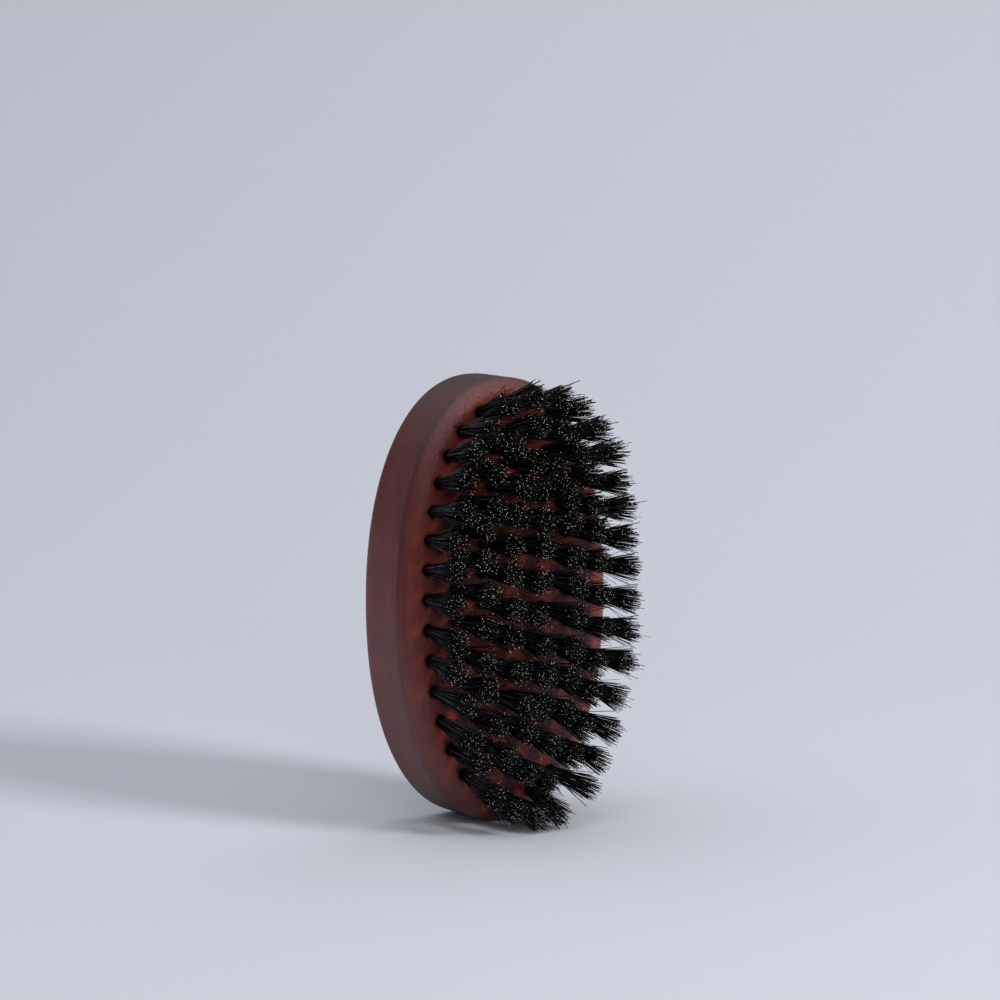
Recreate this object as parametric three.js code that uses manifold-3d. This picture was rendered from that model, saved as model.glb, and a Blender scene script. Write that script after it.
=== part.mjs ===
// An oval palm brush: a one-piece wooden back with staple-set bristle tufts in nested ovals.
// Millimetres, +Z up. The brush stands on its narrow lower end and its bristles point along -Y.
import * as THREE from 'three';
import { mergeVertices } from 'three/addons/utils/BufferGeometryUtils.js';
import Module from 'manifold-3d';

// The wooden back
const LENGTH = 100;
const WIDTH = 56;
const THICKNESS = 18;
const OUTLINE_POWER = 2.17;
const OUTLINE_SIDES = 72;
const BEVEL_WIDTH = 4.8;
const BEVEL_DEPTH = 4.1;
const BEVEL_STEPS = 3;
const BACK_EDGE_RADIUS = 2.5;
const BACK_EDGE_STEPS = 2;

// The pattern of tufts: nested ovals and a middle row, all measured on the bristle face
const RIM_AT_SIDES = 5.6;
const RIM_AT_ENDS = 5.5;
const OVAL_GAP = 7.1;
const OVAL_POWER = 2.25;
const OVALS = 3;
const PITCH = 6.65;
const START = 0.3; // each oval's first tuft sits this share of a step beside the top end, on the -X side
const DRIFT = 3; // the tufts at mid length sit this far above an even spacing
const FAN = 0.06; // the tips lie this share further from the centre than the roots

// One tuft, a bundle folded over its anchor, and the blind hole that it stands in
const BRISTLE_HEIGHT = 14;
const FOOT_DEPTH = 7;
const FOOT_RADIUS = 1.05;
const TIP_RADIUS = 2.7;
const TIP_CROWN = 0.6;
const FOLD_CROWN = 0.4;
const HOLE_RADIUS = 1.45;
const HOLE_FLOOR_GAP = 0.4;
const ROUND_SIDES = 8;

// The flat wire anchor in the fold of each tuft
const ANCHOR_LENGTH = 2.3;
const ANCHOR_THICKNESS = 0.45;
const ANCHOR_HEIGHT = 1.5;
const ANCHOR_ABOVE_FOLD = 1.6;

// A stray bristle that crosses from one tuft to the next and holds the two together
const STRAY_RADIUS = 0.2;
const STRAY_LOW = 5;
const STRAY_HIGH = 9;

const HALF_LENGTH = LENGTH / 2;
const HALF_WIDTH = WIDTH / 2;
const LENGTH_AXIS = new THREE.Vector3(0, 1, 0);

const wood = new THREE.MeshStandardMaterial({ color: 0x5a2f26, roughness: 0.45, metalness: 0 });
const bristle = new THREE.MeshStandardMaterial({ color: 0x17161a, roughness: 0.5, metalness: 0 });

const wasm = await Module();
wasm.setup();

// ---- Closed meshes to solids and back ----

function toSolid(geometry) {
  const bare = geometry.clone();
  bare.deleteAttribute('normal');
  bare.deleteAttribute('uv');
  const merged = mergeVertices(bare);
  const corners = merged.index.array;
  const kept = [];
  for (let i = 0; i < corners.length; i += 3) {
    const [a, b, c] = corners.slice(i, i + 3);
    if (a !== b && b !== c && c !== a) kept.push(a, b, c);
  }
  const vertProperties = new Float32Array(merged.attributes.position.array);
  return new wasm.Manifold(new wasm.Mesh({ numProp: 3, vertProperties, triVerts: new Uint32Array(kept) }));
}

function toGeometry(solid) {
  const mesh = solid.getMesh();
  const geometry = new THREE.BufferGeometry();
  geometry.setAttribute('position', new THREE.BufferAttribute(new Float32Array(mesh.vertProperties), 3));
  geometry.setIndex(new THREE.BufferAttribute(new Uint32Array(mesh.triVerts), 1));
  geometry.computeVertexNormals();
  return geometry;
}

function namedMesh(name, geometry, material) {
  const mesh = new THREE.Mesh(geometry, material);
  mesh.name = name;
  return mesh;
}

// ---- Ovals ----

// A superellipse that runs from its top end round the -X side
class Oval extends THREE.Curve {
  constructor(halfWidth, halfLength, power) {
    super();
    this.halfWidth = halfWidth;
    this.halfLength = halfLength;
    this.bend = 2 / power;
    this.arcLengthDivisions = 2000;
  }

  getPoint(t, target = new THREE.Vector2()) {
    const across = -Math.sin(2 * Math.PI * t);
    const along = Math.cos(2 * Math.PI * t);
    return target.set(
      this.halfWidth * Math.sign(across) * Math.abs(across) ** this.bend,
      this.halfLength * Math.sign(along) * Math.abs(along) ** this.bend,
    );
  }
}

// ---- The wooden back, with its bristle face on the plane z = 0 ----

// Steps along a quarter of an ellipse, as [inset, depth] from the flat to the wall
function roundedEdge(inset, depth, steps) {
  const edge = [];
  for (let i = 0; i <= steps; i++) {
    const turn = (Math.PI / 2) * (i / steps);
    edge.push([inset * (1 - Math.sin(turn)), depth * (1 - Math.cos(turn))]);
  }
  return edge;
}

function backLayers() {
  const front = roundedEdge(BEVEL_WIDTH, BEVEL_DEPTH, BEVEL_STEPS);
  const rear = roundedEdge(BACK_EDGE_RADIUS, BACK_EDGE_RADIUS, BACK_EDGE_STEPS);
  const layers = front.map(([inset, depth]) => ({ inset, z: -depth }));
  for (const [inset, depth] of rear.reverse()) {
    layers.push({ inset, z: depth - THICKNESS });
  }
  return layers;
}

// A closed body through a stack of outlines, each joined to the next and capped at both ends
function loftedBody(rings) {
  const sides = rings[0].length;
  const positions = rings.flat(2);
  const faces = [];
  for (let r = 0; r + 1 < rings.length; r++) {
    for (let k = 0; k < sides; k++) {
      const a = r * sides + k;
      const b = r * sides + ((k + 1) % sides);
      faces.push(a, a + sides, b, b, a + sides, b + sides);
    }
  }
  const last = (rings.length - 1) * sides;
  for (let k = 1; k + 1 < sides; k++) {
    faces.push(0, k, k + 1, last, last + k + 1, last + k);
  }
  const geometry = new THREE.BufferGeometry();
  geometry.setAttribute('position', new THREE.Float32BufferAttribute(positions, 3));
  geometry.setIndex(faces);
  return geometry;
}

// The outline inset by a distance. Its points lie half a step off the ends, so each end has a short flat side
function insetOutline(outline, inset) {
  const points = [];
  for (let k = 0; k < OUTLINE_SIDES; k++) {
    const share = (k + 0.5) / OUTLINE_SIDES;
    const tangent = outline.getTangentAt(share);
    const outward = new THREE.Vector2(tangent.y, -tangent.x);
    points.push(outline.getPointAt(share).addScaledVector(outward, -inset));
  }
  return points;
}

function backBlank() {
  const outline = new Oval(HALF_WIDTH, HALF_LENGTH, OUTLINE_POWER);
  return loftedBody(backLayers().map(({ inset, z }) =>
    insetOutline(outline, inset).map((point) => [point.x, point.y, z])));
}

// The cutter stands clear of the face by its own radius
function holeCutter(root) {
  const depth = FOOT_DEPTH + HOLE_FLOOR_GAP;
  const cutter = new THREE.CylinderGeometry(HOLE_RADIUS, HOLE_RADIUS, depth + HOLE_RADIUS, ROUND_SIDES);
  cutter.translate(0, (HOLE_RADIUS - depth) / 2, 0);
  return cutter.applyMatrix4(root.matrix);
}

function woodenBack(roots) {
  let solid = toSolid(backBlank());
  for (const root of roots) {
    solid = solid.subtract(toSolid(holeCutter(root)));
  }
  return namedMesh('wooden_back', toGeometry(solid), wood);
}

// ---- The pattern of roots ----

// The place and lean of a tuft whose root is at x, y on the bristle face
function rootAt(x, y) {
  const place = new THREE.Object3D();
  place.position.set(x, y + DRIFT * Math.cos((Math.PI * y) / LENGTH), 0);
  const tip = new THREE.Vector3(place.position.x * FAN, place.position.y * FAN, BRISTLE_HEIGHT);
  place.quaternion.setFromUnitVectors(LENGTH_AXIS, tip.clone().normalize());
  place.updateMatrix();
  return { matrix: place.matrix, position: place.position, quaternion: place.quaternion };
}

function halfLengthOf(order) {
  return HALF_LENGTH - RIM_AT_ENDS - order * OVAL_GAP;
}

// The oval's roots, as many as fit at about the pitch and come in whole groups
function ovalOfRoots(order, group) {
  const halfWidth = HALF_WIDTH - RIM_AT_SIDES - order * OVAL_GAP;
  const oval = new Oval(halfWidth, halfLengthOf(order), OVAL_POWER);
  const count = group * Math.round(oval.getLength() / (group * PITCH));
  const roots = [];
  for (let k = 0; k < count; k++) {
    const point = oval.getPointAt((k + START) / count);
    roots.push(rootAt(point.x, point.y));
  }
  return roots;
}

function middleRowOfRoots() {
  const halfLength = halfLengthOf(OVALS);
  const count = 2 * Math.round(halfLength / PITCH + 0.5);
  const roots = [];
  for (let k = 0; k < count; k++) {
    roots.push(rootAt(0, halfLength - (2 * halfLength * k) / (count - 1)));
  }
  return roots;
}

// ---- Tufts ----

// A folded bundle about the Y axis, root at the origin, joined with the anchor in its fold
function tuftSolid() {
  const profile = [
    new THREE.Vector2(0, -FOOT_DEPTH),
    new THREE.Vector2(FOOT_RADIUS, FOLD_CROWN - FOOT_DEPTH),
    new THREE.Vector2(FOOT_RADIUS, 0),
    new THREE.Vector2(TIP_RADIUS, BRISTLE_HEIGHT - TIP_CROWN),
    new THREE.Vector2(0, BRISTLE_HEIGHT),
  ];
  const anchor = new THREE.BoxGeometry(ANCHOR_THICKNESS, ANCHOR_HEIGHT, ANCHOR_LENGTH);
  anchor.rotateY(Math.PI / ROUND_SIDES);
  anchor.translate(0, ANCHOR_ABOVE_FOLD - FOOT_DEPTH, 0);
  return toSolid(new THREE.LatheGeometry(profile, ROUND_SIDES)).add(toSolid(anchor));
}

function strayBristle(low, high) {
  const from = new THREE.Vector3(0, STRAY_LOW, 0).applyMatrix4(low.matrix);
  const to = new THREE.Vector3(0, STRAY_HIGH, 0).applyMatrix4(high.matrix);
  const run = to.clone().sub(from);
  const stray = new THREE.CylinderGeometry(STRAY_RADIUS, STRAY_RADIUS, run.length(), 4);
  stray.applyQuaternion(new THREE.Quaternion().setFromUnitVectors(LENGTH_AXIS, run.clone().normalize()));
  return stray.translate(...from.add(to).multiplyScalar(0.5));
}

function numbered(name, index) {
  return `${name}_${String(index + 1).padStart(2, '0')}`;
}

function singleTufts(name, roots, tuft) {
  return roots.map((root, index) => {
    const mesh = namedMesh(numbered(name, index), tuft, bristle);
    mesh.position.copy(root.position);
    mesh.quaternion.copy(root.quaternion);
    return mesh;
  });
}

function tuftPairs(name, roots, tuft) {
  const pairs = [];
  for (let i = 0; i + 1 < roots.length; i += 2) {
    const [low, high] = [roots[i], roots[i + 1]];
    const pair = toSolid(tuft.clone().applyMatrix4(low.matrix))
      .add(toSolid(tuft.clone().applyMatrix4(high.matrix)))
      .add(toSolid(strayBristle(low, high)));
    pairs.push(namedMesh(numbered(name, i / 2), toGeometry(pair), bristle));
  }
  return pairs;
}

// ---- The brush, laid out with its bristle face up and then stood on its lower end ----

function brush() {
  const outer = ovalOfRoots(0, 1);
  const second = ovalOfRoots(1, 2);
  const third = ovalOfRoots(2, 2);
  const middle = middleRowOfRoots();
  const tuft = toGeometry(tuftSolid());
  const group = new THREE.Group();
  group.add(woodenBack([...outer, ...second, ...third, ...middle]));
  group.add(...tuftPairs('outer_pair', outer.slice(0, 2), tuft));
  group.add(...singleTufts('outer_tuft', outer.slice(2), tuft));
  group.add(...tuftPairs('second_oval_pair', second, tuft));
  group.add(...tuftPairs('third_oval_pair', third, tuft));
  group.add(...tuftPairs('middle_row_pair', middle, tuft));
  group.rotation.x = Math.PI / 2;
  const box = new THREE.Box3().setFromObject(group, true);
  const centre = box.getCenter(new THREE.Vector3());
  group.position.set(-centre.x, -centre.y, -box.min.z);
  return group;
}

const group = brush();
export default group;
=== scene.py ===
import math

import bmesh
import bpy
import numpy as np
from mathutils import Matrix, Vector
from mathutils.geometry import delaunay_2d_cdt


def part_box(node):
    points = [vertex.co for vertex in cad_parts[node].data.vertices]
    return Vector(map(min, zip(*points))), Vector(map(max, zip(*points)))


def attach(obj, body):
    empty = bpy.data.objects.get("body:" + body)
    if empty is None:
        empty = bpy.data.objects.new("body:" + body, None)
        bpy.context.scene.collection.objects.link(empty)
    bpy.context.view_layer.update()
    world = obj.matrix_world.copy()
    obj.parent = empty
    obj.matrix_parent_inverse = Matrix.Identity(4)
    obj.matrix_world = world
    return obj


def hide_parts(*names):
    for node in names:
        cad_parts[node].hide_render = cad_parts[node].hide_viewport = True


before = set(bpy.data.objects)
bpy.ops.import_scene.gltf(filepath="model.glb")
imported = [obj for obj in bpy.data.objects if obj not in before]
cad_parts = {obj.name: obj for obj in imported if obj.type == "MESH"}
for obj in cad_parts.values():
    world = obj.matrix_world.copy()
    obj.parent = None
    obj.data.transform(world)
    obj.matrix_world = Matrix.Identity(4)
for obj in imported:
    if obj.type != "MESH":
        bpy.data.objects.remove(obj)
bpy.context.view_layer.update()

MM = 0.001
SEED = 7

# ---- Sizes, in millimetres. Counts, powers and shares have no unit ----

# The wooden back, whose outline is a superellipse
OUTLINE_POWER = 2.17
OUTLINE_POINTS = 288
OUTLINE_SAMPLES = 7201
BEVEL_WIDTH = 4.8
BEVEL_DEPTH = 4.1
BEVEL_STEPS = 14
BORDER_STEP = 5  # the bevel's ring that borders the face's triangles, outside every hole's ring of painted shade
FACE_POINT_STRIDE = 3
FACE_POINT_CLEARANCE = 0.25
MERGE_DISTANCE = 1e-5
BACK_EDGE_RADIUS = 2.5
BACK_EDGE_STEPS = 7
WALL_STEPS = 6

# Where the back's finish changes, and where shade and a sheen are painted on it
SEAM_WIDTH = 0.6
SEAM_SHADE_RINGS = 3
BEVEL_END_GRAIN = 0.65
END_GRAIN_POWER = 1.5
SHEEN_START = 0.2  # a height above the middle as a share of the half length, as is the rise to the full painted sheen
SHEEN_RISE = 0.6

# A blind hole
HOLE_RADIUS = 1.28
HOLE_DEPTH = 7.5
HOLE_CHAMFER = 0.5
HOLE_SIDES = 28
RIM_RADIUS = 0.15
RIM_STEPS = 3
# The ring of painted shade round a hole fades out over this width
HOLE_SHADE_WIDTH = 0.75

# A tuft: bristles folded double over a flat wire anchor
TUFT_LENGTH = 21.0  # a CAD tuft's, from its fold in the wood to its tip
APEX_SLACK = 0.06  # how far below a CAD node's highest fold or tip another one may lie
APEX_GAP = 0.5
FOLDED_BRISTLES = 68
ROOT_RADIUS = 1.12
TIP_REACH_ACROSS = 2.7
TIP_REACH_ALONG = 3.1
TIP_SPREAD = 0.45
TIP_CROWN = 0.3
TIP_CUT = 0.1
LENGTH_SPREAD = 0.24
SPLAY_POWER = 1.15
TUFT_LEAN = 0.045
WILD_SHARE = 0.10
WILD_SPREAD = 3.0
LEG_SHARES = (0.45, 1.0)
FLOOR_GAP = 0.3

# The fold under the wood
FOLD_TOP = 5.7
FOLD_BOTTOM = 6.3
FOLD_SAG = 0.85
FOLD_HALF_WIDTH = 0.34
FOLD_WIDENING = 0.68
FOLD_NARROWING = 0.9
FOLD_CLEARANCE = 0.1  # the least distance from the anchor's plane, as a share of the root radius

# A bristle. Its tone and reach are marks from 0 to 1 for its material
BRISTLE_RADIUS = 0.093
BRISTLE_SIDES = 4
THICKNESS_RANGE = (0.85, 1.12)
ROOT_THICKNESS = 1.04
TIP_THINNING = 0.16
TONE_POWER = 1.4
TONE_RANGE = 0.75

# A stray: a finer single bristle that leaves its tuft at a wide angle
STRAYS_PER_TUFT = 5
STRAY_LEAN = 0.17
STRAY_LEAN_SPREAD = 0.08
STRAY_LENGTHS = (0.75, 1.08)
STRAY_SHARES = (0.2, 0.4, 0.7, 1.0)
STRAY_ROOT = 0.9
STRAY_FOOT = 2.0
STRAY_THICKNESS = 0.62
STRAY_TONE = 0.25

# An anchor. Its steps are (share of its length from the middle, size of its section), from end to end
ANCHOR_LENGTH = 2.0
ANCHOR_THICKNESS = 0.4
ANCHOR_HEIGHT = 1.2
ANCHOR_DEPTH = 5.4
ANCHOR_TURN = math.radians(22.5)
ANCHOR_EDGE = 0.09
ANCHOR_STEPS = ((-0.5, 0.86), (-0.47, 1), (0.47, 1), (0.5, 0.86))

# ---- Meshes ----


def face_outward(mesh):
    editable = bmesh.new()
    editable.from_mesh(mesh)
    bmesh.ops.recalc_face_normals(editable, faces=editable.faces)
    editable.to_mesh(mesh)
    editable.free()


def add_mesh(name, points, faces):
    """A smooth-shaded mesh object from points in metres, with its faces turned outward."""
    mesh = bpy.data.meshes.new(name)
    mesh.from_pydata([tuple(p) for p in points], [], [tuple(f) for f in faces])
    face_outward(mesh)
    mesh.shade_smooth()
    piece = bpy.data.objects.new(name, mesh)
    bpy.context.scene.collection.objects.link(piece)
    return piece


def set_attribute(piece, name, values, domain="POINT"):
    attribute = piece.data.attributes.new(name, "FLOAT", domain)
    attribute.data.foreach_set("value", np.asarray(values, np.float32))


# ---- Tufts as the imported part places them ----


def distinct(points):
    """The points, without any that lie close to one already kept."""
    kept = []
    for point in points:
        if all(np.linalg.norm(point - other) > APEX_GAP * MM for other in kept):
            kept.append(point)
    return kept


def tufts_of(node_name, face_y):
    """(root, direction, length above the wood) of each tuft in a CAD node, from its folds and tips."""
    points = np.array([v.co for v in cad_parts[node_name].data.vertices])
    y = points[:, 1]
    slack = APEX_SLACK * MM
    folds = distinct(points[y > y.max() - slack])
    tips = distinct(points[y < y.min() + slack])
    tufts = []
    for fold in folds:
        tip = min(tips, key=lambda p: abs(np.linalg.norm(p - fold) - TUFT_LENGTH * MM))
        run = tip - fold
        root = fold + run * (face_y - fold[1]) / run[1]
        tufts.append((root, run / np.linalg.norm(run), np.linalg.norm(tip - root)))
    return tufts


# ---- The wooden back ----


def dense_outline(half_width, half_length):
    """The oval's edge as many (x, z) points, and how far along it each one lies."""
    turn = np.linspace(0, 2 * math.pi, OUTLINE_SAMPLES)
    bend = 2 / OUTLINE_POWER
    x = half_width * np.sign(np.cos(turn)) * np.abs(np.cos(turn)) ** bend
    z = half_length * np.sign(np.sin(turn)) * np.abs(np.sin(turn)) ** bend
    run = np.concatenate([[0], np.cumsum(np.hypot(np.diff(x), np.diff(z)))])
    return np.stack([x, z], 1), run


def inset_outline(edge, run, inset):
    """Evenly spaced points round the oval, at an inset from its edge."""
    at = np.linspace(0, run[-1], OUTLINE_POINTS, endpoint=False)
    points = np.stack([np.interp(at, run, edge[:, 0]), np.interp(at, run, edge[:, 1])], 1)
    along = np.roll(points, -1, 0) - np.roll(points, 1, 0)
    outward = np.stack([along[:, 1], -along[:, 0]], 1)
    outward /= np.linalg.norm(outward, axis=1)[:, None]
    return points - outward * inset


def bevel_depth(inset):
    """How far the bevel lies behind the bristle face at an inset from the edge."""
    across = np.clip((BEVEL_WIDTH - inset) / BEVEL_WIDTH, 0, 1)
    return BEVEL_DEPTH * (1 - np.sqrt(1 - across**2))


def bevel_insets():
    return [BEVEL_WIDTH * (1 - math.sin(math.pi / 2 * i / BEVEL_STEPS)) for i in range(BEVEL_STEPS + 1)]


def rear_layers(thickness):
    """(inset, depth behind the face, how far it faces sideways) of each ring from the wall to the rear."""
    wall_end = thickness - BACK_EDGE_RADIUS
    layers = [(0, BEVEL_DEPTH + SEAM_WIDTH, 1)]
    for i in range(1, WALL_STEPS):
        layers.append((0, BEVEL_DEPTH + (wall_end - BEVEL_DEPTH) * i / WALL_STEPS, 1))
    for i in range(BACK_EDGE_STEPS + 1):
        turn = math.pi / 2 * i / BACK_EDGE_STEPS
        inset = BACK_EDGE_RADIUS * (1 - math.cos(turn))
        layers.append((inset, wall_end + BACK_EDGE_RADIUS * math.sin(turn), math.cos(turn)))
    return layers


def hole_layers():
    """(radius, depth, whether it follows the face) of each ring of a hole, from the face to its floor."""
    layers = [(HOLE_RADIUS + RIM_RADIUS + HOLE_SHADE_WIDTH, 0, 1)]
    for i in range(RIM_STEPS + 1):
        turn = math.pi / 2 * i / RIM_STEPS
        radius = HOLE_RADIUS + RIM_RADIUS * (1 - math.sin(turn))
        layers.append((radius, RIM_RADIUS * (1 - math.cos(turn)), 1))
    layers.append((HOLE_RADIUS, HOLE_DEPTH - HOLE_CHAMFER, 0))
    layers.append((HOLE_RADIUS - HOLE_CHAMFER, HOLE_DEPTH, 0))
    return layers


def bridge(first, second, count):
    """Quads between two rings of points that start at these indices."""
    quads = []
    for k in range(count):
        n = (k + 1) % count
        quads.append((first + k, first + n, second + n, second + k))
    return quads


class Back:
    """The back's points and faces, in millimetres about the centre of its bristle face.

    Each point has marks from 0 to 1 that its material reads: rim for the shade painted round
    and inside a hole, painted_sheen for the pale satin sheen painted on the upper bevel as a highlight,
    end_grain where the surface cuts across the grain, and painted_seam_shade for the dark line of shade
    painted where the bevel meets the wall.
    """

    def __init__(self, half_width, half_length, thickness):
        self.edge, self.run = dense_outline(half_width, half_length)
        self.thickness = thickness
        self.points, self.faces = [], []
        self.marks = {"rim": [], "painted_sheen": [], "end_grain": [], "painted_seam_shade": []}

    def add_ring(self, ring, **marks):
        """Adds points, with a mark of each kind from 0 to 1 on all of them or on each."""
        start = len(self.points)
        self.points.extend(ring)
        for kind, values in self.marks.items():
            values.extend(np.broadcast_to(marks.get(kind, 0.0), len(ring)))
        return start

    def outline_ring(self, inset, depth, **marks):
        ring = [(x, depth, z) for x, z in inset_outline(self.edge, self.run, inset)]
        return self.add_ring(ring, **marks)

    def across_grain(self):
        """How far the wall cuts across the grain, which runs along Z, at each point of a ring."""
        shallow, deep = (inset_outline(self.edge, self.run, inset) for inset in (0, 1))
        return np.abs((shallow - deep)[:, 1]) ** END_GRAIN_POWER

    def upper_part(self):
        """From 0 a little above the back's middle to 1 near its top, at each point of a ring."""
        height = inset_outline(self.edge, self.run, 0)[:, 1] / self.edge[:, 1].max()
        return np.clip((height - SHEEN_START) / SHEEN_RISE, 0, 1)

    def face_depth(self, x, z):
        return float(bevel_depth(np.hypot(self.edge[:, 0] - x, self.edge[:, 1] - z).min()))

    def add_shell(self, joined_from):
        """The bevel from one of its rings outward, the wall and the rear."""
        starts = []
        end_grain = self.across_grain()
        insets = bevel_insets()[joined_from:]
        for i, inset in enumerate(insets):
            sideways = (1 - inset / BEVEL_WIDTH) * BEVEL_END_GRAIN
            # Painted sheen peaks halfway across the bevel on the upper part; painted shade fills the rings
            # nearest the wall
            marks = {
                "painted_sheen": math.sin(math.pi * inset / BEVEL_WIDTH) * self.upper_part(),
                "end_grain": end_grain * sideways,
                "painted_seam_shade": max(0, 1 - (len(insets) - 1 - i) / SEAM_SHADE_RINGS),
            }
            starts.append(self.outline_ring(inset, float(bevel_depth(inset)), **marks))
        for inset, depth, sideways in rear_layers(self.thickness):
            starts.append(self.outline_ring(inset, depth, end_grain=end_grain * sideways))
        for first, second in zip(starts, starts[1:]):
            self.faces += bridge(second, first, OUTLINE_POINTS)
        self.faces.append([starts[-1] + k for k in range(OUTLINE_POINTS)])
        return starts[0]

    def add_hole(self, root, inward):
        """A blind hole from the face at root. Returns the index where its outermost ring starts."""
        side = Vector((0, 0, 1)).cross(inward).normalized()
        up = inward.cross(side)
        rings = []
        for radius, depth, follows in hole_layers():
            ring = []
            for k in range(HOLE_SIDES):
                angle = 2 * math.pi * k / HOLE_SIDES
                point = root + (side * math.cos(angle) + up * math.sin(angle)) * radius
                point -= inward * point.y / inward.y
                fall = self.face_depth(point.x, point.z) if follows else 0
                ring.append(tuple(point + inward * (depth + fall)))
            # The rim and the hole's inside carry painted shade
            rings.append(self.add_ring(ring, rim=float(radius <= HOLE_RADIUS + RIM_RADIUS)))
        for first, second in zip(rings, rings[1:]):
            self.faces += bridge(first, second, HOLE_SIDES)
        self.faces.append([rings[-1] + k for k in range(HOLE_SIDES)])
        return rings[0]

    def add_free_points(self, hole_loops, inner_rings):
        """Single points on the inner rings, wherever they are clear of every hole."""
        centres = np.array([np.mean([self.points[i] for i in loop], axis=0) for loop in hole_loops])
        clear = HOLE_RADIUS + RIM_RADIUS + HOLE_SHADE_WIDTH + FACE_POINT_CLEARANCE
        added = []
        for inset in inner_rings:
            for x, z in inset_outline(self.edge, self.run, inset)[::FACE_POINT_STRIDE]:
                if np.hypot(centres[:, 0] - x, centres[:, 2] - z).min() > clear:
                    added.append(self.add_ring([(x, float(bevel_depth(inset)), z)]))
        return added

    def add_face(self, border, holes, inner_rings):
        """Triangles between the border ring and the holes, through the inner rings' free points."""
        loops = [range(border, border + OUTLINE_POINTS)]
        loops += [range(hole, hole + HOLE_SIDES) for hole in holes]
        free = self.add_free_points(loops[1:], inner_rings)
        index = [i for loop in loops for i in loop] + free
        owner = [k for k, loop in enumerate(loops) for _ in loop] + [0] * len(free)
        edges, start = [], 0
        for loop in loops:
            edges += [(start + k, start + (k + 1) % len(loop)) for k in range(len(loop))]
            start += len(loop)
        flat = [Vector((self.points[i][0], self.points[i][2])) for i in index]
        _, _, triangles, sources, _, _ = delaunay_2d_cdt(flat, edges, [], 0, MERGE_DISTANCE)
        for triangle in triangles:
            corners = [sources[i][0] for i in triangle]
            holes_met = {owner[i] for i in corners}
            if len(holes_met) > 1 or holes_met == {0}:
                self.faces.append([index[i] for i in corners])


def wooden_back(tufts):
    """The back as one piece, with a hole for each tuft."""
    low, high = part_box("wooden_back")
    centre = Vector(((low.x + high.x) / 2, low.y, (low.z + high.z) / 2))
    size = (high - low) / MM
    back = Back(size.x / 2, size.z / 2, size.y)
    border = back.add_shell(BORDER_STEP)
    holes = []
    for root, direction, _ in tufts:
        holes.append(back.add_hole((Vector(root) - centre) / MM, Vector(-direction)))
    back.add_face(border, holes, bevel_insets()[: BORDER_STEP : 2])
    points = [centre + Vector(point) * MM for point in back.points]
    piece = add_mesh("brush_back", points, back.faces)
    for kind, values in back.marks.items():
        set_attribute(piece, kind, values)
    return piece


# ---- Bristles ----


def tubes(paths, radii, sideways):
    """Closed thin tubes along paths (bristle, point, xyz). Returns points, side faces and end caps."""
    count, steps = paths.shape[:2]
    along = np.gradient(paths, axis=1)
    along /= np.linalg.norm(along, axis=2)[:, :, None]
    first = sideways - (along @ sideways)[:, :, None] * along
    first /= np.linalg.norm(first, axis=2)[:, :, None]
    second = np.cross(along, first)
    angle = 2 * np.pi * np.arange(BRISTLE_SIDES) / BRISTLE_SIDES
    spin = np.cos(angle)[:, None] * first[:, :, None] + np.sin(angle)[:, None] * second[:, :, None]
    points = paths[:, :, None] + spin * radii[:, :, None, None]
    sides, caps = [], []
    for b in range(count):
        start = b * steps * BRISTLE_SIDES
        for s in range(steps - 1):
            ring = start + s * BRISTLE_SIDES
            for k in range(BRISTLE_SIDES):
                n = (k + 1) % BRISTLE_SIDES
                sides.append((ring + k, ring + n, ring + BRISTLE_SIDES + n, ring + BRISTLE_SIDES + k))
        last = start + (steps - 1) * BRISTLE_SIDES
        caps.append([start + k for k in range(BRISTLE_SIDES)][::-1])
        caps.append([last + k for k in range(BRISTLE_SIDES)])
    return points.reshape(-1, 3), sides, caps


def splayed(root, tip, height, shares):
    """Points of a bristle above the face: its foot keeps to the bundle and its end splays outward."""
    share = np.array(shares)[None, :, None]
    across = root[:, None] + (tip - root)[:, None] * share**SPLAY_POWER
    return np.concatenate([across, height[:, None, None] * share], 2)


def half_disc(count, rng):
    """Places (s, t) in the half disc s > 0 of radius 1, the golden angle apart from a random start."""
    i = np.arange(2 * count) + 0.5
    radius = np.sqrt(i / (2 * count))
    angle = i * math.pi * (3 - math.sqrt(5)) + rng.uniform(0, 2 * math.pi)
    places = np.stack([radius * np.cos(angle), radius * np.sin(angle)], 1)
    places = places[np.argsort(-places[:, 0])][:count]
    places[:, 0] = np.maximum(places[:, 0], FOLD_CLEARANCE)
    return places


def leg_tips(root, height, rng):
    """Where the legs' cut ends lie across the tuft, and how high."""
    count = len(root)
    spread = np.where(rng.random(count) < WILD_SHARE, WILD_SPREAD, 1.0)[:, None]
    reach = np.array((TIP_REACH_ACROSS, TIP_REACH_ALONG)) / ROOT_RADIUS
    tip = root * reach + rng.normal(0, TIP_SPREAD, (count, 2)) * spread
    off_axis = np.linalg.norm(root, axis=1) / ROOT_RADIUS
    return tip, height + rng.normal(0, LENGTH_SPREAD, count) - TIP_CROWN * off_axis**2 - TIP_CUT


def path_step(across, along, height):
    """One step of every path in a tuft, shaped (bristle, 1, xyz)."""
    return np.stack([across, along, height], 1)[:, None]


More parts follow.
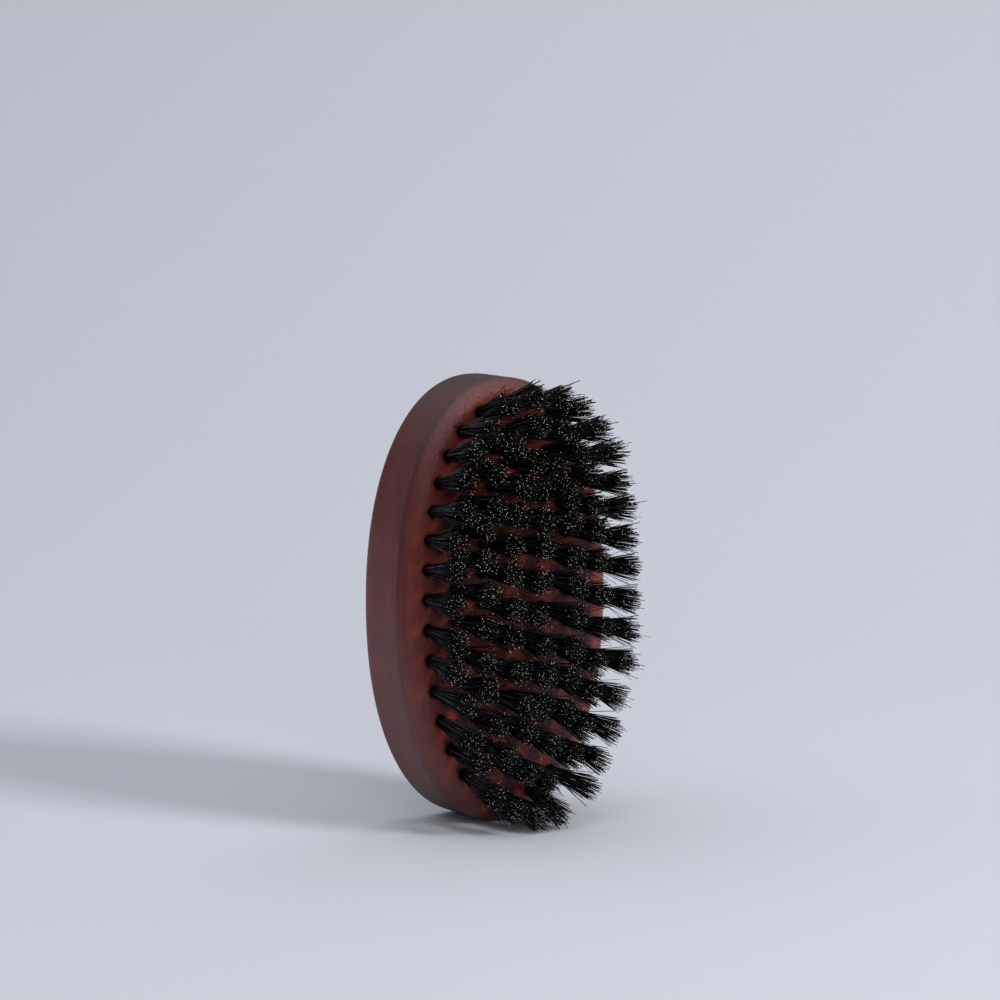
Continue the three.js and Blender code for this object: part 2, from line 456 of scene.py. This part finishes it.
def folded_paths(height, rng):
    """Paths of doubled bristles in a tuft's own (s, t, h) in millimetres, h = 0 on the wood."""
    near = half_disc(FOLDED_BRISTLES, rng) * ROOT_RADIUS
    far = near * (-1, 1)
    legs = []
    for root in (near, far):
        tip, top = leg_tips(root, height, rng)
        legs.append(splayed(root, tip, top, LEG_SHARES))
    s = near[:, 0]
    t = near[:, 1] * FOLD_NARROWING
    wide = FOLD_HALF_WIDTH + FOLD_WIDENING * s
    level = np.zeros_like(s)
    fold = [
        path_step(near[:, 0], near[:, 1], level),
        path_step(wide, t, level - FOLD_TOP),
        path_step(level, t, -(FOLD_BOTTOM + FOLD_SAG * s)),
        path_step(-wide, t, level - FOLD_TOP),
        path_step(far[:, 0], far[:, 1], level),
    ]
    return np.concatenate([legs[0][:, ::-1], *fold, legs[1]], 1)


def tuft_frame(direction):
    """A tuft's own axes as rows: across the anchor, along the anchor, and outward."""
    turn = Matrix.Rotation(ANCHOR_TURN, 3, Vector(direction))
    along = Vector((0, 0, 1)) - Vector(direction) * direction[2]
    along = turn @ along.normalized()
    across = along.cross(Vector(direction))
    return np.array([across, along, direction])


def stray_paths(height, rng):
    """Paths of single fine bristles that leave a tuft at a wide angle, in its own (s, t, h)."""
    count = rng.poisson(STRAYS_PER_TUFT)
    if not count:
        return np.zeros((0, len(STRAY_SHARES) + 2, 3))
    angle = rng.uniform(0, 2 * math.pi, count)
    lean = np.abs(rng.normal(STRAY_LEAN, STRAY_LEAN_SPREAD, count))
    outward = np.stack([np.cos(angle), np.sin(angle)], 1)
    root = outward * ROOT_RADIUS * STRAY_ROOT
    top = height * rng.uniform(*STRAY_LENGTHS, count)
    tip = root + outward * (top * np.tan(lean))[:, None]
    ends = splayed(root, tip, top, STRAY_SHARES)
    foot = np.concatenate([root, np.zeros((count, 1))], 1)[:, None]
    return np.concatenate([foot - (0, 0, STRAY_FOOT), foot, ends], 1)


class Bristles:
    """The points and faces of one piece's bristles, with each face's tone and each point's reach."""

    def __init__(self):
        self.points, self.sides, self.caps = [], [], []
        self.side_tones, self.cap_tones, self.reach = [], [], []
        self.count = 0

    def add(self, paths, share, radius, least_tone, sideways, rng):
        """Tubes along paths in metres. share is how far up its tuft each point of a path lies."""
        thinned = ROOT_THICKNESS - TIP_THINNING * share
        size = radius * rng.uniform(*THICKNESS_RANGE, len(paths))[:, None] * thinned
        points, sides, caps = tubes(paths, size * MM, sideways)
        self.points.append(points)
        self.sides += [tuple(self.count + i for i in face) for face in sides]
        self.caps += [tuple(self.count + i for i in face) for face in caps]
        self.count += len(points)
        tone = rng.random(len(paths)) ** TONE_POWER * TONE_RANGE + least_tone
        self.side_tones.append(np.repeat(tone, (paths.shape[1] - 1) * BRISTLE_SIDES))
        self.cap_tones.append(rng.random(2 * len(paths)))
        self.reach.append(np.repeat(share, BRISTLE_SIDES, 1).ravel())

    def piece(self, name, materials):
        """A mesh object whose sides have the first material and whose flat cut ends have the second."""
        piece = add_mesh(name, np.concatenate(self.points), self.sides + self.caps)
        is_end = np.zeros(len(self.sides) + len(self.caps), bool)
        is_end[len(self.sides):] = True
        piece.data.polygons.foreach_set("use_smooth", ~is_end)
        for material in materials:
            piece.data.materials.append(material)
        piece.data.polygons.foreach_set("material_index", is_end.astype(np.int32))
        set_attribute(piece, "tone", np.concatenate(self.side_tones + self.cap_tones), "FACE")
        set_attribute(piece, "reach", np.concatenate(self.reach))
        return piece


def bundle(name, tufts, materials, rng):
    """The bristles of one or two tufts as one piece."""
    bristles = Bristles()
    for root, direction, length in tufts:
        top = length / MM
        lean = rng.normal(0, TUFT_LEAN, 3)
        axis = direction + lean - direction * (lean @ direction)
        axes = tuft_frame(direction)
        folded = (folded_paths(top, rng), BRISTLE_RADIUS, 0.0)
        strays = (stray_paths(top, rng), BRISTLE_RADIUS * STRAY_THICKNESS, STRAY_TONE)
        for paths, radius, least_tone in (folded, strays):
            if not len(paths):
                continue
            height = np.clip(paths[:, :, 2], 0, None)
            placed = root + paths @ axes * MM + height[:, :, None] * (axis - direction) * MM
            placed[:, :, 2] = np.maximum(placed[:, :, 2], FLOOR_GAP * MM)
            bristles.add(placed, np.clip(height / top, 0, 1), radius, least_tone, axes[1], rng)
    return bristles.piece(name, materials)


# ---- Wire anchors ----


def anchor_outline():
    """The flat wire's section as (s, h) points: a rectangle with rounded corners."""
    half_s, half_h, edge = ANCHOR_THICKNESS / 2, ANCHOR_HEIGHT / 2, ANCHOR_EDGE
    corners = []
    for sign_s, sign_h, start in ((1, 1, 0), (-1, 1, 90), (-1, -1, 180), (1, -1, 270)):
        for turn in (0, 45, 90):
            angle = math.radians(start + turn)
            corners.append((
                sign_s * (half_s - edge) + edge * math.cos(angle),
                sign_h * (half_h - edge) + edge * math.sin(angle),
            ))
    return corners


def wire_anchors(tufts):
    """Every tuft's anchor as one piece."""
    points, faces = [], []
    section = anchor_outline()
    count = len(section)
    for root, direction, _ in tufts:
        axes = tuft_frame(direction)
        start = len(points)
        for share, size in ANCHOR_STEPS:
            for s, h in section:
                local = np.array([s * size, share * ANCHOR_LENGTH, h * size - ANCHOR_DEPTH])
                points.append(root + local @ axes * MM)
        for i in range(len(ANCHOR_STEPS) - 1):
            faces += bridge(start + i * count, start + (i + 1) * count, count)
        last = start + (len(ANCHOR_STEPS) - 1) * count
        faces.append([start + k for k in range(count)][::-1])
        faces.append([last + k for k in range(count)])
    return add_mesh("wire_anchors", points, faces)


# ---- Materials ----

# A colour mix node's sockets, which share their names with its number and vector ones
MIX_FIRST, MIX_SECOND, MIX_RESULT = 6, 7, 2


class Nodes:
    """Builds one procedural material, a node at a time."""

    def __init__(self, name):
        self.material = bpy.data.materials.new(name)
        self.material.use_nodes = True
        self.tree = self.material.node_tree
        self.shader = self.tree.nodes["Principled BSDF"]
        self.place = self.add("ShaderNodeTexCoord").outputs["Object"]

    def add(self, kind, **settings):
        node = self.tree.nodes.new(kind)
        for key, value in settings.items():
            setattr(node, key, value)
        return node

    def link(self, source, target):
        self.tree.links.new(source, target)

    def stretched(self, scale):
        """The object's coordinates scaled along each axis."""
        mapping = self.add("ShaderNodeMapping")
        self.link(self.place, mapping.inputs["Vector"])
        mapping.inputs["Scale"].default_value = scale
        return mapping.outputs["Vector"]

    def noise(self, scale, detail=4.0, roughness=0.55, distortion=0.0):
        node = self.add("ShaderNodeTexNoise")
        self.link(self.stretched(scale), node.inputs["Vector"])
        node.inputs["Scale"].default_value = 1.0
        node.inputs["Detail"].default_value = detail
        node.inputs["Roughness"].default_value = roughness
        node.inputs["Distortion"].default_value = distortion
        return node.outputs["Fac"]

    def ramp(self, source, *stops):
        """A colour ramp through (position, grey or colour) stops."""
        node = self.add("ShaderNodeValToRGB")
        self.link(source, node.inputs["Fac"])
        elements = node.color_ramp.elements
        while len(elements) < len(stops):
            elements.new(1.0)
        for element, (position, value) in zip(elements, stops):
            element.position = position
            element.color = (*value, 1) if isinstance(value, tuple) else (value, value, value, 1)
        return node.outputs["Color"]

    def mix(self, factor, first, second):
        node = self.add("ShaderNodeMix", data_type="RGBA")
        self.feed(factor, node.inputs["Factor"])
        self.feed(first, node.inputs[MIX_FIRST])
        self.feed(second, node.inputs[MIX_SECOND])
        return node.outputs[MIX_RESULT]

    def product(self, first, second):
        node = self.add("ShaderNodeMath", operation="MULTIPLY")
        self.feed(first, node.inputs[0])
        self.feed(second, node.inputs[1])
        return node.outputs[0]

    def attribute(self, name):
        return self.add("ShaderNodeAttribute", attribute_name=name).outputs["Fac"]

    def feed(self, value, socket):
        """Links an output to the socket, or sets the socket to a plain value."""
        if isinstance(value, bpy.types.NodeSocket):
            self.link(value, socket)
        elif isinstance(value, tuple):
            socket.default_value = (*value, 1)
        else:
            socket.default_value = value

    def bump(self, height, strength, distance, below=None):
        node = self.add("ShaderNodeBump")
        self.link(height, node.inputs["Height"])
        node.inputs["Strength"].default_value = strength
        node.inputs["Distance"].default_value = distance
        if below is not None:
            self.link(below, node.inputs["Normal"])
        return node.outputs["Normal"]

    def finish(self, colour, roughness, normal=None, **fixed):
        """Feeds the shader and returns the material. Other sockets get fixed values, by name."""
        for name, value in fixed.items():
            self.shader.inputs[name.replace("_", " ")].default_value = value
        self.feed(colour, self.shader.inputs["Base Color"])
        self.feed(roughness, self.shader.inputs["Roughness"])
        if normal is not None:
            self.link(normal, self.shader.inputs["Normal"])
        return self.material


def stained_wood():
    """Red-brown stain over grain along Z, changed where the back's marks say, with painted shade and sheen.
    """
    n = Nodes("stained_wood_satin")
    streaks = n.noise((900, 900, 34), 5.0, 0.6, 0.4)
    broad = n.noise((110, 110, 18), 3.0, 0.5, 0.6)
    mottle = n.noise((260, 260, 150), 3.0, 0.5)
    pores = n.noise((4200, 4200, 260), 2.0, 0.5)
    base = n.ramp(broad, (0.32, (0.118, 0.0200, 0.0170)), (0.68, (0.150, 0.0265, 0.0205)))
    base = n.mix(n.ramp(streaks, (0.35, 0.0), (0.7, 0.6)), base, (0.080, 0.0150, 0.0145))
    base = n.mix(n.ramp(mottle, (0.42, 0.0), (0.72, 0.5)), base, (0.185, 0.036, 0.015))
    base = n.mix(n.ramp(pores, (0.62, 0.0), (0.74, 0.4)), base, (0.036, 0.008, 0.006))
    base = n.mix(n.product(n.attribute("end_grain"), 0.9), base, (0.019, 0.010, 0.014))
    # Painted shade: a dark line where the bevel turns into the wall
    base = n.mix(n.product(n.attribute("painted_seam_shade"), 0.8), base, (0.048, 0.008, 0.009))
    # Painted shade round each hole and inside it
    base = n.mix(n.product(n.attribute("rim"), 0.75), base, (0.022, 0.006, 0.005))
    # Painted sheen: pale specks on the upper bevel in place of a highlight
    sheen_specks = n.ramp(n.noise((4400, 4400, 4400), 0.0, 0.5), (0.36, 0.0), (0.84, 0.46))
    base = n.mix(n.product(sheen_specks, n.attribute("painted_sheen")), base, (0.24, 0.18, 0.19))
    grain = n.noise((2600, 2600, 420), 3.0, 0.6)
    sparkle = n.noise((4200, 4200, 4200), 1.0, 0.5)
    normal = n.bump(streaks, 0.4, 0.00008)
    normal = n.bump(grain, 0.35, 0.00006, normal)
    normal = n.bump(sparkle, 1.0, 0.00012, normal)
    roughness = n.mix(n.attribute("end_grain"), n.ramp(grain, (0.3, 0.28), (0.7, 0.40)), (0.62, 0.62, 0.62))
    return n.finish(base, roughness, normal, IOR=1.5, Specular_IOR_Level=0.5)


def dark_bristle():
    """Near-black shafts: some paler by tone, some a blue-grey painted sheen; painted shade at both ends."""
    n = Nodes("dark_bristle_shaft")
    tone = n.attribute("tone")
    base = n.ramp(
        tone,
        (0.0, (0.0010, 0.0010, 0.0012)),
        (0.30, (0.0030, 0.0030, 0.0038)),
        # A blue-grey tone on some shafts, painted in place of their reflected sheen
        (0.70, (0.0620, 0.0630, 0.0800)),
        (0.95, (0.0340, 0.0200, 0.0100)),
    )
    # Painted shade: near black at the roots in the hole and towards the tips, where the tufts shade the
    # shafts
    shade = n.ramp(n.attribute("reach"), (0.02, 0.9), (0.28, 0.0), (0.62, 0.0), (0.88, 0.96))
    base = n.mix(shade, base, (0.0008, 0.0008, 0.0009))
    scales = n.noise((5200, 5200, 5200), 2.0, 0.6)
    normal = n.bump(scales, 0.1, 0.00001)
    roughness = n.ramp(scales, (0.3, 0.15), (0.7, 0.23))
    glint = (0.80, 0.86, 1.0, 1)
    return n.finish(base, roughness, normal, IOR=1.55, Specular_IOR_Level=0.15, Specular_Tint=glint)


def cut_end():
    """The flat ends, from dark to bone-pale by tone."""
    n = Nodes("cut_bristle_end")
    tone = n.attribute("tone")
    fleck = n.noise((9000, 9000, 9000), 2.0, 0.6)
    base = n.ramp(
        tone,
        (0.0, (0.002, 0.002, 0.0018)),
        (0.45, (0.014, 0.0135, 0.011)),
        (0.72, (0.14, 0.135, 0.105)),
        (1.0, (0.90, 0.87, 0.70)),
    )
    base = n.mix(n.ramp(fleck, (0.4, 0.0), (0.7, 0.3)), base, (0.02, 0.018, 0.014))
    return n.finish(base, n.ramp(fleck, (0.3, 0.45), (0.7, 0.65)), IOR=1.5)


def anchor_steel():
    n = Nodes("drawn_steel_wire")
    drawn = n.noise((9000, 9000, 700), 3.0, 0.6)
    dull = n.noise((1500, 1500, 1500), 3.0, 0.6)
    base = n.ramp(dull, (0.35, (0.42, 0.41, 0.39)), (0.7, (0.60, 0.60, 0.60)))
    roughness = n.ramp(drawn, (0.3, 0.28), (0.7, 0.45))
    return n.finish(base, roughness, n.bump(drawn, 0.2, 0.00002), Metallic=1.0)


def backdrop_paper():
    n = Nodes("backdrop_paper")
    fibre = n.noise((900, 900, 900), 4.0, 0.6)
    base = n.ramp(fibre, (0.3, (0.480, 0.500, 0.556)), (0.7, (0.488, 0.508, 0.564)))
    return n.finish(base, 0.9, n.bump(fibre, 0.05, 0.00005), Specular_IOR_Level=0.2)


# ---- The camera, the stage and the lights, in metres ----

# The camera, which turns about the centre of the bristle face
VIEW_TURN = math.radians(35.686)
VIEW_HEIGHT = math.radians(9.279)
VIEW_DISTANCE = 0.720
FOCAL_LENGTH = 116.57  # in millimetres, as is the sensor
SENSOR_WIDTH = 36
AIM_RIGHT = -0.0025
AIM_UP = 0.0228
NEAREST = 0.01
FURTHEST = 50

# The stage: a floor that curves up behind the brush
FLOOR_BEHIND = 0.16
SWEEP_RADIUS = 1.6
SWEEP_TURN = math.radians(88)
SWEEP_STEPS = 40
PAPER_FRONT = 0.22
PAPER_HALF_WIDTH = 0.45
PAPER_TOP = 0.9
STAGE_REACH = 3.0

# Each light: azimuth and elevation in degrees, distance, size, power in watts, and colour
OVERHEAD = (180, 80, 1.2, 2.5, 18.5, (0.98, 0.98, 1.0))
BRUSH_LIGHTS = {
    "key": (29, 28, 1.5, 0.42, 20.5, (1.0, 0.985, 0.97)),
    "front_fill": (84, 22, 1.3, 0.9, 4.6, (1.0, 0.98, 0.96)),
    "left_fill": (178, 16, 1.3, 0.7, 0.8, (0.95, 0.97, 1.0)),
}
BACKDROP_LIGHT = (0, 88, 1.1, 0.8, 3.0, (0.97, 0.98, 1.0))
BACKDROP_RIGHT = 0.55
BACKDROP_BEHIND = 0.80
ROOM_COLOUR = (0.86, 0.90, 1.0, 1)
ROOM_STRENGTH = 0.04
SEEN_COLOUR = (0.60, 0.63, 0.70, 1)


def ground_directions():
    """Unit vectors on the ground: to the camera's right, and towards the camera."""
    right = Vector((math.cos(VIEW_TURN), -math.sin(VIEW_TURN), 0))
    nearer = Vector((-math.sin(VIEW_TURN), -math.cos(VIEW_TURN), 0))
    return right, nearer


def add_camera(face_centre):
    """The camera, aimed a little above and to one side of the face's centre."""
    right, nearer = ground_directions()
    back = nearer * math.cos(VIEW_HEIGHT) + Vector((0, 0, 1)) * math.sin(VIEW_HEIGHT)
    up = back.cross(right)
    place = face_centre + back * VIEW_DISTANCE
    aim = face_centre + right * AIM_RIGHT + up * AIM_UP
    data = bpy.data.cameras.new("camera")
    data.sensor_width = SENSOR_WIDTH
    data.lens = FOCAL_LENGTH
    data.clip_start = NEAREST
    data.clip_end = FURTHEST
    camera = bpy.data.objects.new("camera", data)
    camera.location = place
    camera.rotation_euler = (aim - place).to_track_quat("-Z", "Y").to_euler()
    bpy.context.scene.collection.objects.link(camera)
    bpy.context.scene.camera = camera


def sweep_profile():
    """(towards the camera, height) along the floor and up the curve behind the brush."""
    profile = [(STAGE_REACH, 0.0), (PAPER_FRONT, 0.0), (-FLOOR_BEHIND, 0.0)]
    for i in range(1, SWEEP_STEPS + 1):
        turn = SWEEP_TURN * i / SWEEP_STEPS
        height = SWEEP_RADIUS * (1 - math.cos(turn))
        profile.append((-FLOOR_BEHIND - SWEEP_RADIUS * math.sin(turn), height))
    return profile


def only_used(points, faces):
    """The points these faces use, and the faces renumbered to match."""
    used = sorted({i for face in faces for i in face})
    number = {old: new for new, old in enumerate(used)}
    return [points[i] for i in used], [tuple(number[i] for i in face) for face in faces]


def is_paper(profile, row, column):
    """Whether a patch is lit paper: only the middle in front, the full width behind, none above its top."""
    in_front = row == 0
    across = column == 1 or row > 1
    return not in_front and across and profile[row + 1][1] < PAPER_TOP


def add_sheet(name, points, faces, material):
    sheet = add_mesh(name, *only_used(points, faces))
    sheet.data.materials.append(material)
    return sheet


def add_stage():
    """The paper sheet lights the brush. The floor that surrounds it is only seen."""
    right, nearer = ground_directions()
    sides = (-STAGE_REACH, -PAPER_HALF_WIDTH, PAPER_HALF_WIDTH, STAGE_REACH)
    profile = sweep_profile()
    points = []
    for towards, height in profile:
        points += [nearer * towards + right * side + Vector((0, 0, height)) for side in sides]
    paper, surround = [], []
    for row in range(len(profile) - 1):
        for column in range(len(sides) - 1):
            first = row * len(sides) + column
            above = first + len(sides)
            patch = (first, first + 1, above + 1, above)
            (paper if is_paper(profile, row, column) else surround).append(patch)
    material = backdrop_paper()
    add_sheet("paper_sheet", points, paper, material)
    floor = add_sheet("surrounding_floor", points, surround, material)
    floor.visible_diffuse = False
    floor.visible_glossy = False


def add_light(name, aim, azimuth, elevation, distance, size, power, colour):
    """A round soft light. Azimuth is from the camera's right towards the camera, in degrees."""
    right, nearer = ground_directions()
    a, e = math.radians(azimuth), math.radians(elevation)
    away = (right * math.cos(a) + nearer * math.sin(a)) * math.cos(e) + Vector((0, 0, 1)) * math.sin(e)
    data = bpy.data.lights.new(name, "AREA")
    data.shape = "DISK"
    data.size = size
    data.energy = power
    data.color = colour
    light = bpy.data.objects.new(name, data)
    light.location = aim + away * distance
    light.rotation_euler = (-away).to_track_quat("-Z", "Y").to_euler()
    light.visible_camera = False
    bpy.context.scene.collection.objects.link(light)
    return light


def add_lights(aim):
    """Lights on the brush at aim and on the backdrop. Only the one overhead shows in reflections."""
    right, nearer = ground_directions()
    behind = right * BACKDROP_RIGHT - nearer * BACKDROP_BEHIND
    add_light("overhead", aim, *OVERHEAD)
    unmirrored = [add_light(name, aim, *light) for name, light in BRUSH_LIGHTS.items()]
    unmirrored.append(add_light("backdrop", behind, *BACKDROP_LIGHT))
    for light in unmirrored:
        light.visible_glossy = False
    add_world()


def add_world():
    """A dim room that shows pale where nothing stands in front of it."""
    world = bpy.data.worlds.new("studio")
    world.use_nodes = True
    nodes, links = world.node_tree.nodes, world.node_tree.links
    room = nodes["Background"]
    room.inputs["Color"].default_value = ROOM_COLOUR
    room.inputs["Strength"].default_value = ROOM_STRENGTH
    shown = nodes.new("ShaderNodeBackground")
    shown.inputs["Color"].default_value = SEEN_COLOUR
    choice = nodes.new("ShaderNodeMixShader")
    links.new(nodes.new("ShaderNodeLightPath").outputs["Is Camera Ray"], choice.inputs["Fac"])
    links.new(room.outputs["Background"], choice.inputs[1])
    links.new(shown.outputs["Background"], choice.inputs[2])
    links.new(choice.outputs["Shader"], nodes["World Output"].inputs["Surface"])
    bpy.context.scene.world = world


# ---- The brush ----


def bristle_name(node_name):
    """outer_tuft_01 gives outer_bristles_01, and outer_pair_01 gives outer_bristle_pair_01."""
    return node_name.replace("_tuft_", "_bristles_").replace("_pair_", "_bristle_pair_")


def add_back(every_tuft):
    back = wooden_back(every_tuft)
    back.data.materials.append(stained_wood())
    weighted = back.modifiers.new("even_normals", "WEIGHTED_NORMAL")
    weighted.keep_sharp = True
    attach(back, "root")
    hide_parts("wooden_back")


def build():
    """The back, the bristles of each CAD tuft node in turn, and the anchors."""
    rng = np.random.default_rng(SEED)
    face_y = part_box("wooden_back")[0].y
    bristle_materials = (dark_bristle(), cut_end())
    tuft_nodes = [name for name in sorted(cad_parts) if name != "wooden_back"]
    tufts = {name: tufts_of(name, face_y) for name in tuft_nodes}
    every_tuft = [tuft for group in tufts.values() for tuft in group]
    add_back(every_tuft)
    for name, group in tufts.items():
        piece = bundle(bristle_name(name), group, bristle_materials, rng)
        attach(piece, "root")
        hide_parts(name)
    anchors = wire_anchors(every_tuft)
    anchors.data.materials.append(anchor_steel())
    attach(anchors, "root")


build()
low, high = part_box("wooden_back")
face_centre = Vector(((low.x + high.x) / 2, low.y, (low.z + high.z) / 2))
add_camera(face_centre)
add_stage()
add_lights(face_centre)
bpy.context.scene.view_settings.view_transform = "Standard"
